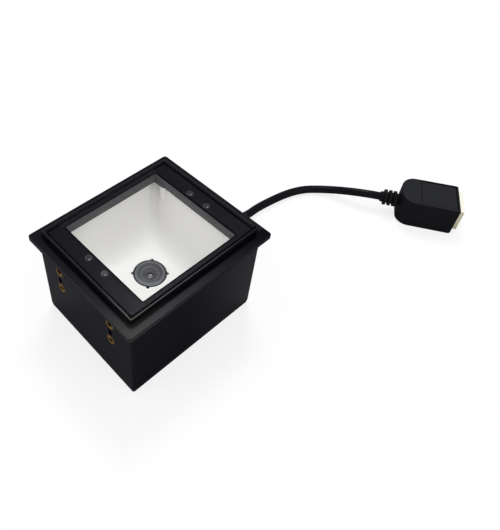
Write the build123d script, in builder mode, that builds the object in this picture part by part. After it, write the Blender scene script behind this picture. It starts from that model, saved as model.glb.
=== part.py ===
from build123d import *
from math import atan2, cos, pi, radians, sin, tan
import os

# Fixed barcode reader, window up, standing on its rear cover.
# Millimetres. Origin under the middle of the case on the surface it stands on, +Z out of the window,
# -X the side with inserts that the photograph shows, +X the side that the cable leaves.

os.makedirs("parts", exist_ok=True)

# Case
flange_x = 79.0
flange_y = 68.0
flange_t = 2.5
flange_corner = 1.5
case_h = 53.3
collar_h = 3.5
collar_margin = 4.6
collar_corner = 0.6
body_margin = 3.1
body_corner = 1.3
wall = 2.2
edge_break = 0.3
lip_t = 0.7

# Window stack
window_t = 1.0
window_gap = 0.45
window_sink = 0.1
window_corner = 0.3
border_t = 0.15
border_gap = 0.1
tape_t = 0.25
tape_edge = 0.4
open_x = 51.0
open_y = 50.5
open_corner = 0.6
throat_h = 4.6
nib_w = 0.8
nib_fit = 0.05
nib_right_y = -2.5
nib_back_x = -1.7

# Indicators
pipe_r = 1.35
pipe_fit = 0.05
pipe_foot_w = 3.0
pipe_foot_t = 0.5
pipe_x = 28.3
pipe_pitch = 10.4
shelf_t = 1.9
pocket_wall = 1.1
pocket_w = 5.9
pocket_l = 26.0
ind_board_gap = 0.35
ind_board_l = 23.0
ind_board_t = 1.0
ind_led_x = 1.6
ind_led_y = 0.8
ind_led_t = 0.6
led_gap = 0.2
stake_w = 1.2
stake_boss_w = 3.0
stake_pitch = 19.0
stake_end = 0.5
stake_fit = 0.1
lead_w = 5.0
lead_t = 0.3
lead_y = -5.0
lead_x = 31.6
lead_foot = 1.8

# Reflector
floor_z = 23.2
floor_half = 10.0
bowl_under = 1.1
bowl_top_turn = 78.0
bowl_sections = 5
bowl_corner_top = 2.0
bowl_corner_floor = 8.5
bowl_wall = 1.2
rim_margin = 1.3
rim_t = 1.2
boss_r = 2.3
boss_proud = 0.7
boss_y = 20.6
boss_drop = 10.5
boss_cover_h = 2.0
ear_r = 2.4
ear_x = 29.6
ear_y = 19.0
lens_gap = 0.3
notch_w = 1.5
notch_out = 0.9
notch_turn = 42.0

# Reflector screws
small_screw_r = 0.8
small_head_r = 1.4
small_head_h = 1.2
small_bite = 3.6
screw_pass = 0.15
screw_short = 0.3

# Main board and the screws through rear cover, board and case
pillar_x = 31.1
pillar_y = 25.4
pillar_r = 3.0
post_r = 2.8
post_h = 5.4
board_t = 1.6
board_gap = 1.2
board_corner = 1.0
case_screw_r = 1.2
case_head_r = 2.3
case_head_sink = 0.2
case_screw_bite = 10.0
recess_r = 0.75
recess_deep = 0.7

# Rear cover
cover_t = 2.5
cover_inset = 0.3
cover_chamfer = 0.5
cover_lip_h = 1.8
cover_lip_t = 1.2
cover_fit = 0.15
seal_w = 0.9
seal_t = 0.6
seal_fit = 0.05

# Side inserts and bracket slots
insert_r = 2.45
insert_l = 4.6
insert_bore = 1.25
insert_y = 17.3
insert_z = 32.4
insert_pitch = 11.0
slot_w = 2.8
slot_h = 4.4
slot_deep = 3.5
pad_wall = 1.35
pad_back = 0.9

# Camera
lens_r = 7.5
lens_proud = 0.5
lens_bevel_w = 1.4
lens_bevel_h = 0.8
lens_land = 0.3
lens_skirt_h = 2.9
dish_r = 4.3
dish_drop = 1.0
dish_floor = 0.3
cone_r = 1.6
cone_drop = 1.1
aperture_t = 0.7
barrel_r = 5.0
barrel_bore = 4.0
barrel_lift = 4.0
glass_t = 1.5
dome_r = 2.6
dome_h = 0.45
ring_l = 2.3
ring_wall = 0.9
rear_glass_t = 2.0
lock_t = 0.8
lock_wall = 1.4
holder_side = 16.0
holder_base_h = 3.2
holder_wall = 1.6
holder_h = 7.0
holder_room = 11.0
holder_room_h = 2.0
sensor_side = 8.0
sensor_t = 1.0

# Light board
light_side = 44.0
light_corner = 3.0
light_t = 1.2
light_lift = 8.1
light_hole_gap = 0.6
light_count = 8
light_ring_r = 14.0
light_led_x = 3.5
light_led_y = 2.8
light_led_t = 0.8
stand_xy = 18.0
stand_r = 2.2
stand_screw_r = 1.0
stand_head_r = 1.9
stand_head_h = 1.4
stand_bite = 5.0
link_x = 9.0
link_y = -14.5
link_l = 10.0
link_w = 4.0

# Parts on the main board
chip_side = 14.0
chip_t = 1.3
chip_x = -21.0
memory_l = 11.0
memory_w = 8.0
memory_t = 1.0
memory_x = -6.0
memory_y = -19.5
buzzer_r = 4.5
buzzer_h = 4.2
buzzer_y = 19.0
buzzer_port = 1.0
buzzer_port_deep = 1.2
header_x = 17.0
header_l = 6.0
header_w = 13.0
header_h = 6.4
header_wall = 1.1
plug_l = 8.4
plug_fit = 0.1

# Cable and gland
cable_r = 2.2
gland_y = 7.3
gland_z = 12.0
gland_neck_r = 3.6
gland_in_r = 4.4
gland_in_t = 0.8
gland_out_r = 5.0
gland_out_t = 1.2
gland_sleeve_l = 4.8
gland_sleeve_r = 3.9
gland_tip_r = 3.0
cable_exit_run = 11.1
cable_drop_run = 21.3
cable_way = [(88.3, 7.6), (113.4, 2.8), (126.4, -7.9)]
cable_last_run = 10.6

# Cable connector
jack_heading = -57.45
jack_x = 143.56
jack_y = -42.95
jack_l = 29.0
jack_w = 20.5
jack_h = 17.5
jack_shoulder = 7.0
jack_corner = 1.3
jack_round = 1.2
jack_panel_back = 9.5
jack_panel_front = 1.4
jack_panel_side = 1.5
jack_panel_deep = 0.35
relief_l = 9.5
relief_root_r = 3.15
relief_tip_r = 2.85
rib_r = 4.3
rib_w = 1.2
rib_pitch = 2.5
rib_first = 1.6
rib_count = 3
shell_w = 16.4
shell_h = 13.4
shell_out = 2.2
shell_in = 14.5
shell_wall = 0.35
shell_corner = 0.8
shell_lift = 0.3
socket_w = 11.8
socket_h = 7.2
socket_deep = 12.0
latch_w = 6.2
latch_h = 2.2
latch_step_w = 3.2
latch_step_h = 1.2
contact_count = 8
contact_pitch = 1.02
contact_w = 0.5
contact_t = 0.35
contact_l = 8.0
contact_tilt = 16.0
contact_back = 1.5

# Levels and outlines that follow from the sizes above
flange_top = case_h - collar_h
flange_base = flange_top - flange_t
collar_x = flange_x - 2 * collar_margin
collar_y = flange_y - 2 * collar_margin
body_x = flange_x - 2 * body_margin
body_y = flange_y - 2 * body_margin
cavity_x = body_x - 2 * wall
cavity_y = body_y - 2 * wall
cavity_corner = body_corner / 2
recess_x = collar_x - 2 * lip_t
recess_y = collar_y - 2 * lip_t
window_x = recess_x - 2 * window_gap
window_y = recess_y - 2 * window_gap
window_base = case_h - window_sink - window_t
border_base = window_base - border_t
seat_z = border_base - tape_t
ceiling_z = seat_z - throat_h
pocket_top = seat_z - shelf_t
bowl_half = open_x / 2 + bowl_under
bowl_spread = (bowl_half - floor_half) / sin(radians(bowl_top_turn))
bowl_rise = (ceiling_z - floor_z) / (1 - cos(radians(bowl_top_turn)))
rim_side = 2 * (bowl_half + rim_margin)
boss_x = open_x / 2 - boss_proud + boss_r
screw_seat = ceiling_z - rim_t
pocket_x = open_x / 2 + pocket_wall + pocket_w / 2
ind_board_w = pocket_w - 2 * ind_board_gap
ind_board_top = pocket_top - pipe_foot_t - led_gap - ind_led_t
ind_board_base = ind_board_top - ind_board_t
board_base = cover_t + post_h
board_top = board_base + board_t
board_x = cavity_x - 2 * board_gap
board_y = cavity_y - 2 * board_gap
light_base = board_top + light_lift
light_top = light_base + light_t
face_x = body_x / 2
inner_x = cavity_x / 2
pad_y = 2 * (insert_r + pad_wall)
pad_z = insert_pitch + pad_y
pad_deep = insert_l + pad_back - wall
gland_end = face_x + gland_out_t + gland_sleeve_l

# Places that repeat
pillar_spots = [(sx * pillar_x, sy * pillar_y) for sx in (-1, 1) for sy in (-1, 1)]
pocket_spots = [(-pocket_x, 0), (pocket_x, 0)]
pipe_spots = [(sx * pipe_x, sy * pipe_pitch / 2) for sx in (-1, 1) for sy in (-1, 1)]
stake_spots = [(sx * pocket_x, sy * stake_pitch / 2) for sx in (-1, 1) for sy in (-1, 1)]
ear_spots = [(-ear_x, ear_y), (-ear_x, -ear_y), (ear_x, -ear_y)]
ear_roots = [(x * (1 + bowl_half / ear_x) / 2, y) for x, y in ear_spots]
reflector_screw_spots = ear_spots + [(boss_x, boss_y)]
stand_spots = [(sx * stand_xy, sy * stand_xy) for sx in (-1, 1) for sy in (-1, 1)]
insert_spots = [
    (sy * insert_y, insert_z + sz * insert_pitch / 2) for sy in (-1, 1) for sz in (-1, 1)
]
slot_spots = [(-insert_y, insert_z), (insert_y, insert_z)]


def side_plane(side, x):
    """Plane across X at side * x that faces outwards, with its own y pointing up."""
    return Plane(origin=(side * x, 0, 0), x_dir=(0, side, 0), z_dir=(side, 0, 0))


# Case: one moulding with body walls, flange, collar, window seat, pillars and side pads
with BuildPart() as case:
    with BuildSketch(Plane.XY.offset(flange_base)):
        RectangleRounded(flange_x, flange_y, flange_corner)
    extrude(amount=flange_t)
    flange_levels = case.edges().group_by(Axis.Z)
    chamfer(flange_levels[0] + flange_levels[-1], length=edge_break)
    with BuildSketch(Plane.XY.offset(flange_top)):
        RectangleRounded(collar_x, collar_y, collar_corner)
    extrude(amount=collar_h)
    chamfer(case.edges().group_by(Axis.Z)[-1], length=edge_break)
    with BuildSketch(Plane.XY.offset(cover_t)):
        RectangleRounded(body_x, body_y, body_corner)
    extrude(amount=flange_base - cover_t)
    with BuildSketch(Plane.XY.offset(cover_t)):
        RectangleRounded(cavity_x, cavity_y, cavity_corner)
    extrude(amount=ceiling_z - cover_t, mode=Mode.SUBTRACT)
    with BuildSketch(Plane.XY.offset(ceiling_z)):
        with Locations(*pocket_spots):
            Rectangle(pocket_w, pocket_l)
    extrude(amount=pocket_top - ceiling_z, mode=Mode.SUBTRACT)
    with BuildSketch(Plane.XY.offset(ceiling_z)):
        RectangleRounded(open_x, open_y, open_corner)
    extrude(amount=seat_z - ceiling_z, mode=Mode.SUBTRACT)
    with BuildSketch(Plane.XY.offset(ceiling_z)):
        with Locations((boss_x, boss_y)):
            Circle(boss_r)
        with Locations((boss_x - boss_r, boss_y)):
            Rectangle(2 * boss_r, open_y / 2 - boss_y + wall, align=(Align.MIN, Align.MIN))
    extrude(amount=boss_cover_h)
    with BuildSketch(Plane.XY.offset(seat_z)):
        RectangleRounded(recess_x, recess_y, window_corner + window_gap)
    extrude(amount=case_h - seat_z, mode=Mode.SUBTRACT)
    nib_reach = 2 * (window_gap - nib_fit)
    with BuildSketch(Plane.XY.offset(seat_z)):
        with Locations((recess_x / 2, nib_right_y)):
            Rectangle(nib_reach, nib_w)
        with Locations((nib_back_x, recess_y / 2)):
            Rectangle(nib_w, nib_reach)
    extrude(amount=case_h - window_sink - seat_z)
    with BuildSketch(Plane.XY.offset(pocket_top)):
        with Locations(*pipe_spots):
            Circle(pipe_r + pipe_fit)
    extrude(amount=shelf_t, mode=Mode.SUBTRACT)
    with BuildSketch(Plane.XY.offset(ind_board_top)):
        with Locations(*stake_spots):
            Rectangle(stake_boss_w, stake_boss_w)
    extrude(amount=pocket_top - ind_board_top)
    with BuildSketch(Plane.XY.offset(ind_board_base - stake_end)):
        with Locations(*stake_spots):
            Rectangle(stake_w, stake_w)
    extrude(amount=ind_board_t + stake_end)
    with BuildSketch(Plane.XY.offset(board_top)):
        with Locations(*pillar_spots):
            Circle(pillar_r)
        Rectangle(body_x - wall, body_y - wall, mode=Mode.INTERSECT)
    extrude(amount=ceiling_z - board_top)
    with BuildSketch(Plane.XY.offset(board_top)):
        with Locations(*pillar_spots):
            Circle(case_screw_r)
    extrude(amount=case_screw_bite, mode=Mode.SUBTRACT)
    with BuildSketch(Plane.XY.offset(ceiling_z)):
        with Locations(*reflector_screw_spots):
            Circle(small_screw_r)
    extrude(amount=small_bite, mode=Mode.SUBTRACT)
    for side in (-1, 1):
        with BuildSketch(side_plane(side, inner_x - pad_deep)):
            with Locations(*slot_spots):
                Rectangle(pad_y, pad_z)
        extrude(amount=pad_deep + wall / 2)
        with BuildSketch(side_plane(side, face_x - insert_l)):
            with Locations(*insert_spots):
                Circle(insert_r)
        extrude(amount=insert_l, mode=Mode.SUBTRACT)
        with BuildSketch(side_plane(side, face_x - slot_deep)):
            with Locations(*slot_spots):
                Rectangle(slot_w, slot_h)
        extrude(amount=slot_deep, mode=Mode.SUBTRACT)
    with BuildSketch(side_plane(1, inner_x)):
        with Locations((gland_y, gland_z)):
            Circle(gland_neck_r)
    extrude(amount=wall, mode=Mode.SUBTRACT)

# Rear cover: plate with a lip inside the case wall, a groove for the seal and posts under the board
seal_x = cavity_x + wall
seal_y = cavity_y + wall
seal_corner = (cavity_corner + body_corner) / 2
with BuildPart() as rear_cover:
    with BuildSketch():
        RectangleRounded(
            body_x - 2 * cover_inset, body_y - 2 * cover_inset, body_corner - cover_inset
        )
    extrude(amount=cover_t)
    chamfer(rear_cover.edges().group_by(Axis.Z)[0], length=cover_chamfer)
    lip_x = cavity_x - 2 * cover_fit
    lip_y = cavity_y - 2 * cover_fit
    with BuildSketch(Plane.XY.offset(cover_t)):
        RectangleRounded(lip_x, lip_y, cavity_corner - cover_fit)
        Rectangle(lip_x - 2 * cover_lip_t, lip_y - 2 * cover_lip_t, mode=Mode.SUBTRACT)
    extrude(amount=cover_lip_h)
    with BuildSketch(Plane.XY.offset(cover_t)):
        with Locations(*pillar_spots):
            Circle(post_r)
    extrude(amount=post_h)
    groove_w = seal_w + 2 * seal_fit
    with BuildSketch(Plane.XY.offset(cover_t - seal_t)):
        RectangleRounded(seal_x + groove_w, seal_y + groove_w, seal_corner + groove_w / 2)
        RectangleRounded(
            seal_x - groove_w, seal_y - groove_w, seal_corner - groove_w / 2, mode=Mode.SUBTRACT
        )
    extrude(amount=seal_t, mode=Mode.SUBTRACT)
    head_cone_h = case_head_r - case_screw_r
    with BuildSketch():
        with Locations(*pillar_spots):
            Circle(case_screw_r + screw_pass)
    extrude(amount=cover_t + post_h, mode=Mode.SUBTRACT)
    with Locations(*[(x, y, case_head_sink) for x, y in pillar_spots]):
        Cone(
            case_head_r + screw_pass, case_screw_r + screw_pass, head_cone_h,
            align=(Align.CENTER, Align.CENTER, Align.MIN), mode=Mode.SUBTRACT,
        )
    with BuildSketch():
        with Locations(*pillar_spots):
            Circle(case_head_r + screw_pass)
    extrude(amount=case_head_sink, mode=Mode.SUBTRACT)

with BuildPart() as cover_seal:
    with BuildSketch(Plane.XY.offset(cover_t - seal_t)):
        RectangleRounded(seal_x + seal_w, seal_y + seal_w, seal_corner + seal_w / 2)
        RectangleRounded(
            seal_x - seal_w, seal_y - seal_w, seal_corner - seal_w / 2, mode=Mode.SUBTRACT
        )
    extrude(amount=seal_t)

# Four countersunk screws from the rear, in the case pillars
with BuildPart() as case_screws:
    with BuildSketch(Plane.XY.offset(case_head_sink)):
        with Locations(*pillar_spots):
            Circle(case_screw_r)
    extrude(amount=board_top + case_screw_bite - screw_short - case_head_sink)
    with Locations(*[(x, y, case_head_sink) for x, y in pillar_spots]):
        Cone(
            case_head_r, case_screw_r, head_cone_h,
            align=(Align.CENTER, Align.CENTER, Align.MIN),
        )
    with BuildSketch(Plane.XY.offset(case_head_sink)):
        with Locations(*pillar_spots):
            RegularPolygon(recess_r, 6)
    extrude(amount=recess_deep, mode=Mode.SUBTRACT)

# Window plate, its printed border and the tape that holds it on the seat
with BuildPart() as window_plate:
    with BuildSketch(Plane.XY.offset(window_base)):
        RectangleRounded(window_x, window_y, window_corner)
    extrude(amount=window_t)

with BuildPart() as window_border:
    with BuildSketch(Plane.XY.offset(border_base)):
        RectangleRounded(window_x, window_y, window_corner)
        RectangleRounded(
            open_x + 2 * border_gap, open_y + 2 * border_gap, open_corner, mode=Mode.SUBTRACT
        )
        with Locations(*pipe_spots):
            Circle(pipe_r, mode=Mode.SUBTRACT)
    extrude(amount=border_t)

with BuildPart() as window_tape:
    with BuildSketch(Plane.XY.offset(seat_z)):
        RectangleRounded(window_x - 2 * tape_edge, window_y - 2 * tape_edge, window_corner)
        RectangleRounded(
            open_x + 2 * tape_edge, open_y + 2 * tape_edge, open_corner, mode=Mode.SUBTRACT
        )
        with Locations(*pipe_spots):
            Rectangle(pipe_foot_w, pipe_foot_w, mode=Mode.SUBTRACT)
    extrude(amount=tape_t)

# Indicators: light pipes in the shelf, diodes on two small boards in the ceiling pockets
with BuildPart() as light_pipes:
    with BuildSketch(Plane.XY.offset(pocket_top)):
        with Locations(*pipe_spots):
            Circle(pipe_r)
    extrude(amount=window_base - pocket_top)
    with BuildSketch(Plane.XY.offset(pocket_top - pipe_foot_t)):
        with Locations(*pipe_spots):
            Rectangle(pipe_foot_w, pipe_foot_w)
    extrude(amount=pipe_foot_t)

with BuildPart() as indicator_boards:
    with BuildSketch(Plane.XY.offset(ind_board_base)):
        with Locations(*pocket_spots):
            Rectangle(ind_board_w, ind_board_l)
        with Locations(*stake_spots):
            Rectangle(stake_w + 2 * stake_fit, stake_w + 2 * stake_fit, mode=Mode.SUBTRACT)
    extrude(amount=ind_board_t)

with BuildPart() as indicator_leds:
    with BuildSketch(Plane.XY.offset(ind_board_top)):
        with Locations(*pipe_spots):
            Rectangle(ind_led_x, ind_led_y)
    extrude(amount=ind_led_t)

with BuildPart() as indicator_leads:
    lead_drop = ind_board_base - board_top
    for side in (-1, 1):
        with BuildSketch(Plane.XZ.offset(-lead_y - lead_w / 2)):
            with Locations((side * lead_x, board_top + lead_drop / 2)):
                Rectangle(lead_t, lead_drop)
            foot_x = side * (lead_x - (lead_foot - lead_t) / 2)
            with Locations((foot_x, board_top + lead_t / 2), (foot_x, ind_board_base - lead_t / 2)):
                Rectangle(lead_foot, lead_t)
        extrude(amount=lead_w)

# Reflector: curved bowl lofted through rounded squares, with a rim under the case ceiling
bowl_turns = [radians(bowl_top_turn) * i / (bowl_sections - 1) for i in range(bowl_sections)]
bowl_halves = [floor_half + bowl_spread * sin(turn) for turn in bowl_turns]
bowl_levels = [floor_z + bowl_rise * (1 - cos(turn)) for turn in bowl_turns]
bowl_corners = [
    bowl_corner_top + (bowl_corner_floor - bowl_corner_top) * (1 - i / (bowl_sections - 1)) ** 3
    for i in range(bowl_sections)
]
bowl_tilts = [atan2(bowl_rise * sin(turn), bowl_spread * cos(turn)) for turn in bowl_turns]
boss_foot = (boss_x, boss_y, ceiling_z - boss_drop)
upright = (Align.CENTER, Align.CENTER, Align.MIN)

with BuildPart() as bowl_void:
    for half, level, corner in zip(bowl_halves, bowl_levels, bowl_corners):
        with BuildSketch(Plane.XY.offset(level)):
            RectangleRounded(2 * half, 2 * half, corner)
    loft()
    with Locations(boss_foot):
        Cylinder(boss_r, boss_drop, align=upright, mode=Mode.SUBTRACT)

with BuildPart() as reflector:
    for half, level, corner, tilt in zip(bowl_halves, bowl_levels, bowl_corners, bowl_tilts):
        with BuildSketch(Plane.XY.offset(level - bowl_wall * cos(tilt))):
            grown = half + bowl_wall * sin(tilt)
            RectangleRounded(2 * grown, 2 * grown, corner + bowl_wall * sin(tilt))
    loft(ruled=True)
    with BuildSketch(Plane.XY.offset(screw_seat)):
        RectangleRounded(rim_side, rim_side, bowl_corner_top + rim_margin)
        with Locations(*ear_spots):
            Circle(ear_r)
        with Locations(*ear_roots):
            Rectangle(ear_x - bowl_half, 2 * ear_r)
    extrude(amount=rim_t)
    with Locations(boss_foot):
        Cylinder(boss_r, boss_drop, align=upright)
    add(bowl_void.part, mode=Mode.SUBTRACT)
    with Locations(boss_foot):
        Cylinder(
            small_head_r + screw_pass, boss_drop - rim_t, align=upright, mode=Mode.SUBTRACT
        )
    with BuildSketch(Plane.XY.offset(screw_seat)):
        with Locations(*reflector_screw_spots):
            Circle(small_screw_r + screw_pass)
    extrude(amount=rim_t, mode=Mode.SUBTRACT)
    with BuildSketch(Plane.XY.offset(floor_z - 2 * bowl_wall)):
        Circle(lens_r + lens_gap)
        for turn in (notch_turn, 180 - notch_turn, 180 + notch_turn, 360 - notch_turn):
            notch_reach = lens_r + lens_gap + notch_out
            with Locations(Location((0, 0, 0), (0, 0, turn))):
                SlotOverall(2 * notch_reach, notch_w)
    extrude(amount=3 * bowl_wall, mode=Mode.SUBTRACT)

with BuildPart() as reflector_screws:
    with BuildSketch(Plane.XY.offset(screw_seat - small_head_h)):
        with Locations(*reflector_screw_spots):
            Circle(small_head_r)
    extrude(amount=small_head_h)
    with BuildSketch(Plane.XY.offset(screw_seat)):
        with Locations(*reflector_screw_spots):
            Circle(small_screw_r)
    extrude(amount=rim_t + small_bite - screw_short)
    with BuildSketch(Plane.XY.offset(screw_seat - small_head_h)):
        with Locations(*reflector_screw_spots):
            RegularPolygon(recess_r, 6)
    extrude(amount=recess_deep, mode=Mode.SUBTRACT)

# Camera: threaded barrel with a wide dished head, glasses, spacer rings, holder and image sensor
lens_top = floor_z + lens_proud
lens_under = lens_top - lens_skirt_h
dish_z = lens_top - dish_drop
cone_z = dish_z - cone_drop
glass_top = cone_z - aperture_t
barrel_base = board_top + barrel_lift
glass_base = glass_top - glass_t
rear_glass_top = glass_base - ring_l
rear_glass_base = rear_glass_top - rear_glass_t

with BuildPart() as lens_barrel:
    with BuildSketch(Plane.XZ):
        with BuildLine():
            Polyline(
                (barrel_bore, barrel_base),
                (barrel_r, barrel_base),
                (barrel_r, lens_under),
                (lens_r, lens_under),
                (lens_r, lens_top - lens_bevel_h),
                (lens_r - lens_bevel_w, lens_top),
                (lens_r - lens_bevel_w - lens_land, lens_top),
                (dish_r, dish_z),
                (dish_r - dish_floor, dish_z),
                (cone_r, cone_z),
                (cone_r, glass_top),
                (barrel_bore, glass_top),
                close=True,
            )
        make_face()
    revolve(axis=Axis.Z)

with BuildPart() as front_lens:
    with Locations((0, 0, glass_base)):
        Cylinder(barrel_bore, glass_t, align=upright)
    with Locations((0, 0, glass_top + dome_h - dome_r)):
        Sphere(dome_r)
    with BuildSketch(Plane.XY.offset(glass_base)):
        Circle(barrel_bore)
    extrude(amount=glass_t + dome_h, mode=Mode.INTERSECT)

with BuildPart() as lens_rings:
    with BuildSketch(Plane.XY.offset(rear_glass_top)):
        Circle(barrel_bore)
        Circle(barrel_bore - ring_wall, mode=Mode.SUBTRACT)
    extrude(amount=ring_l)
    with BuildSketch(Plane.XY.offset(rear_glass_base - lock_t)):
        Circle(barrel_bore)
        Circle(barrel_bore - lock_wall, mode=Mode.SUBTRACT)
    extrude(amount=lock_t)

with BuildPart() as rear_lens:
    with Locations((0, 0, rear_glass_base)):
        Cylinder(barrel_bore, rear_glass_t, align=upright)

with BuildPart() as lens_holder:
    with BuildSketch(Plane.XY.offset(board_top)):
        RectangleRounded(holder_side, holder_side, edge_break)
    extrude(amount=holder_base_h)
    with BuildSketch(Plane.XY.offset(board_top + holder_base_h)):
        Circle(barrel_r + holder_wall)
    extrude(amount=holder_h - holder_base_h)
    with BuildSketch(Plane.XY.offset(board_top + holder_base_h)):
        Circle(barrel_r)
    extrude(amount=holder_h - holder_base_h, mode=Mode.SUBTRACT)
    with BuildSketch(Plane.XY.offset(board_top)):
        Circle(barrel_bore)
    extrude(amount=holder_base_h, mode=Mode.SUBTRACT)
    with BuildSketch(Plane.XY.offset(board_top)):
        Rectangle(holder_room, holder_room)
    extrude(amount=holder_room_h, mode=Mode.SUBTRACT)

with BuildPart() as image_sensor:
    with BuildSketch(Plane.XY.offset(board_top)):
        Rectangle(sensor_side, sensor_side)
    extrude(amount=sensor_t)

# Light board around the barrel, on four spacers
with BuildPart() as light_board:
    with BuildSketch(Plane.XY.offset(light_base)):
        RectangleRounded(light_side, light_side, light_corner)
        Circle(barrel_r + light_hole_gap, mode=Mode.SUBTRACT)
        with Locations(*stand_spots):
            Circle(stand_screw_r + screw_pass, mode=Mode.SUBTRACT)
    extrude(amount=light_t)

with BuildPart() as light_leds:
    with BuildSketch(Plane.XY.offset(light_top)):
        with PolarLocations(light_ring_r, light_count, start_angle=180 / light_count):
            Rectangle(light_led_x, light_led_y)
    extrude(amount=light_led_t)

with BuildPart() as board_spacers:
    with BuildSketch(Plane.XY.offset(board_top)):
        with Locations(*stand_spots):
            RegularPolygon(stand_r, 6)
            Circle(stand_screw_r, mode=Mode.SUBTRACT)
    extrude(amount=light_lift)

with BuildPart() as light_screws:
    with Locations(*[(x, y, light_top - light_t - stand_bite) for x, y in stand_spots]):
        Cylinder(stand_screw_r, stand_bite + light_t, align=upright)
    with Locations(*[(x, y, light_top) for x, y in stand_spots]):
        Cylinder(stand_head_r, stand_head_h, align=upright)
    with BuildSketch(Plane.XY.offset(light_top + stand_head_h - recess_deep)):
        with Locations(*stand_spots):
            RegularPolygon(recess_r, 6)
    extrude(amount=recess_deep, mode=Mode.SUBTRACT)

with BuildPart() as board_link:
    with BuildSketch(Plane.XY.offset(board_top)):
        with Locations((link_x, link_y)):
            Rectangle(link_l, link_w)
    extrude(amount=light_lift)

# Main board and the parts on it
with BuildPart() as main_board:
    with BuildSketch(Plane.XY.offset(board_base)):
        RectangleRounded(board_x, board_y, board_corner)
        with Locations(*pillar_spots):
            Circle(case_screw_r + screw_pass, mode=Mode.SUBTRACT)
    extrude(amount=board_t)

with BuildPart() as decoder_chip:
    with BuildSketch(Plane.XY.offset(board_top)):
        with Locations((chip_x, 0)):
            Rectangle(chip_side, chip_side)
    extrude(amount=chip_t)
    chamfer(decoder_chip.edges().group_by(Axis.Z)[-1], length=edge_break)

with BuildPart() as memory_chip:
    with BuildSketch(Plane.XY.offset(board_top)):
        with Locations((memory_x, memory_y)):
            Rectangle(memory_l, memory_w)
    extrude(amount=memory_t)

with BuildPart() as buzzer:
    with BuildSketch(Plane.XY.offset(board_top)):
        with Locations((0, buzzer_y)):
            Circle(buzzer_r)
    extrude(amount=buzzer_h)
    with BuildSketch(Plane.XY.offset(board_top + buzzer_h - buzzer_port_deep)):
        with Locations((0, buzzer_y)):
            Circle(buzzer_port)
    extrude(amount=buzzer_port_deep, mode=Mode.SUBTRACT)

plug_w = header_w - 2 * (header_wall + plug_fit)
plug_h = header_h - 2 * (header_wall + plug_fit)
header_end = header_x + header_l / 2
header_back = header_end - header_l + header_wall
with BuildPart() as board_header:
    with BuildSketch(side_plane(1, header_end - header_l)):
        with Locations((gland_y, board_top + header_h / 2)):
            Rectangle(header_w, header_h)
    extrude(amount=header_l)
    with BuildSketch(side_plane(1, header_back)):
        with Locations((gland_y, board_top + header_h / 2)):
            Rectangle(header_w - 2 * header_wall, header_h - 2 * header_wall)
    extrude(amount=header_l - header_wall, mode=Mode.SUBTRACT)

with BuildPart() as inner_plug:
    with BuildSketch(side_plane(1, header_back)):
        with Locations((gland_y, board_top + header_h / 2)):
            Rectangle(plug_w, plug_h)
    extrude(amount=plug_l)

with BuildPart() as cable_tail:
    with BuildSketch(side_plane(1, header_back + plug_l)):
        with Locations((gland_y, gland_z)):
            Circle(cable_r)
    extrude(amount=inner_x - gland_in_t - header_back - plug_l)

# Rubber grommet clipped in the case wall, with a tapered sleeve outside
with BuildPart() as grommet:
    gland_profile = [
        (inner_x - gland_in_t, 0),
        (inner_x - gland_in_t, gland_in_r),
        (inner_x, gland_in_r),
        (inner_x, gland_neck_r),
        (face_x, gland_neck_r),
        (face_x, gland_out_r),
        (face_x + gland_out_t, gland_out_r),
        (face_x + gland_out_t, gland_sleeve_r),
        (gland_end, gland_tip_r),
        (gland_end, 0),
    ]
    with BuildSketch(Plane(origin=(0, gland_y, gland_z), x_dir=(1, 0, 0), z_dir=(0, -1, 0))):
        with BuildLine():
            Polyline(*gland_profile, close=True)
        make_face()
    revolve(axis=Axis((0, gland_y, gland_z), (1, 0, 0)))

# Brass inserts in the pads behind the side walls
with BuildPart() as inserts_left:
    with BuildSketch(side_plane(-1, face_x - insert_l)):
        with Locations(*insert_spots):
            Circle(insert_r)
            Circle(insert_bore, mode=Mode.SUBTRACT)
    extrude(amount=insert_l)

with BuildPart() as inserts_right:
    with BuildSketch(side_plane(1, face_x - insert_l)):
        with Locations(*insert_spots):
            Circle(insert_r)
            Circle(insert_bore, mode=Mode.SUBTRACT)
    extrude(amount=insert_l)

# Cable: straight runs joined by arcs from the grommet down to the floor and up into the connector
jack_mid_z = jack_h / 2
heading = Vector(cos(radians(jack_heading)), sin(radians(jack_heading)), 0)
across = Vector(-heading.Y, heading.X, 0)
jack_rear = Vector(jack_x, jack_y, jack_mid_z)
cable_end = jack_rear - heading * relief_l
cable_points = [
    Vector(gland_end, gland_y, gland_z),
    Vector(gland_end + cable_exit_run, gland_y, gland_z),
    Vector(gland_end + cable_exit_run + cable_drop_run, gland_y, cable_r),
    *[Vector(x, y, cable_r) for x, y in cable_way],
    cable_end - heading * cable_last_run,
    cable_end,
]
cable_runs = [b - a for a, b in zip(cable_points, cable_points[1:])]
cable_radii = [
    0.45 * min(a.length, b.length) / tan(radians(a.get_angle(b)) / 2)
    for a, b in zip(cable_runs, cable_runs[1:])
]

with BuildPart() as cable:
    with BuildLine() as cable_line:
        FilletPolyline(*cable_points, radius=cable_radii)
    with BuildSketch(Plane(origin=cable_points[0], z_dir=(1, 0, 0))):
        Circle(cable_r)
    sweep(path=cable_line.wires()[0])
cable_length = cable_line.wires()[0].length
cable_should = pi * cable_r**2 * cable_length
print("cable length", round(cable_length, 2), "bend radii", [round(r, 1) for r in cable_radii])
print("cable volume", round(cable.part.volume, 1), "section times length", round(cable_should, 1))

# Connector on the cable end, lying on the floor
jack_floor = Plane(origin=(jack_x, jack_y, 0), x_dir=heading, z_dir=(0, 0, 1))


def jack_section(distance):
    """Plane across the connector at a distance from its rear face, looking out of the socket."""
    return Plane(origin=jack_rear + heading * distance, x_dir=across, z_dir=heading)


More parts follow.
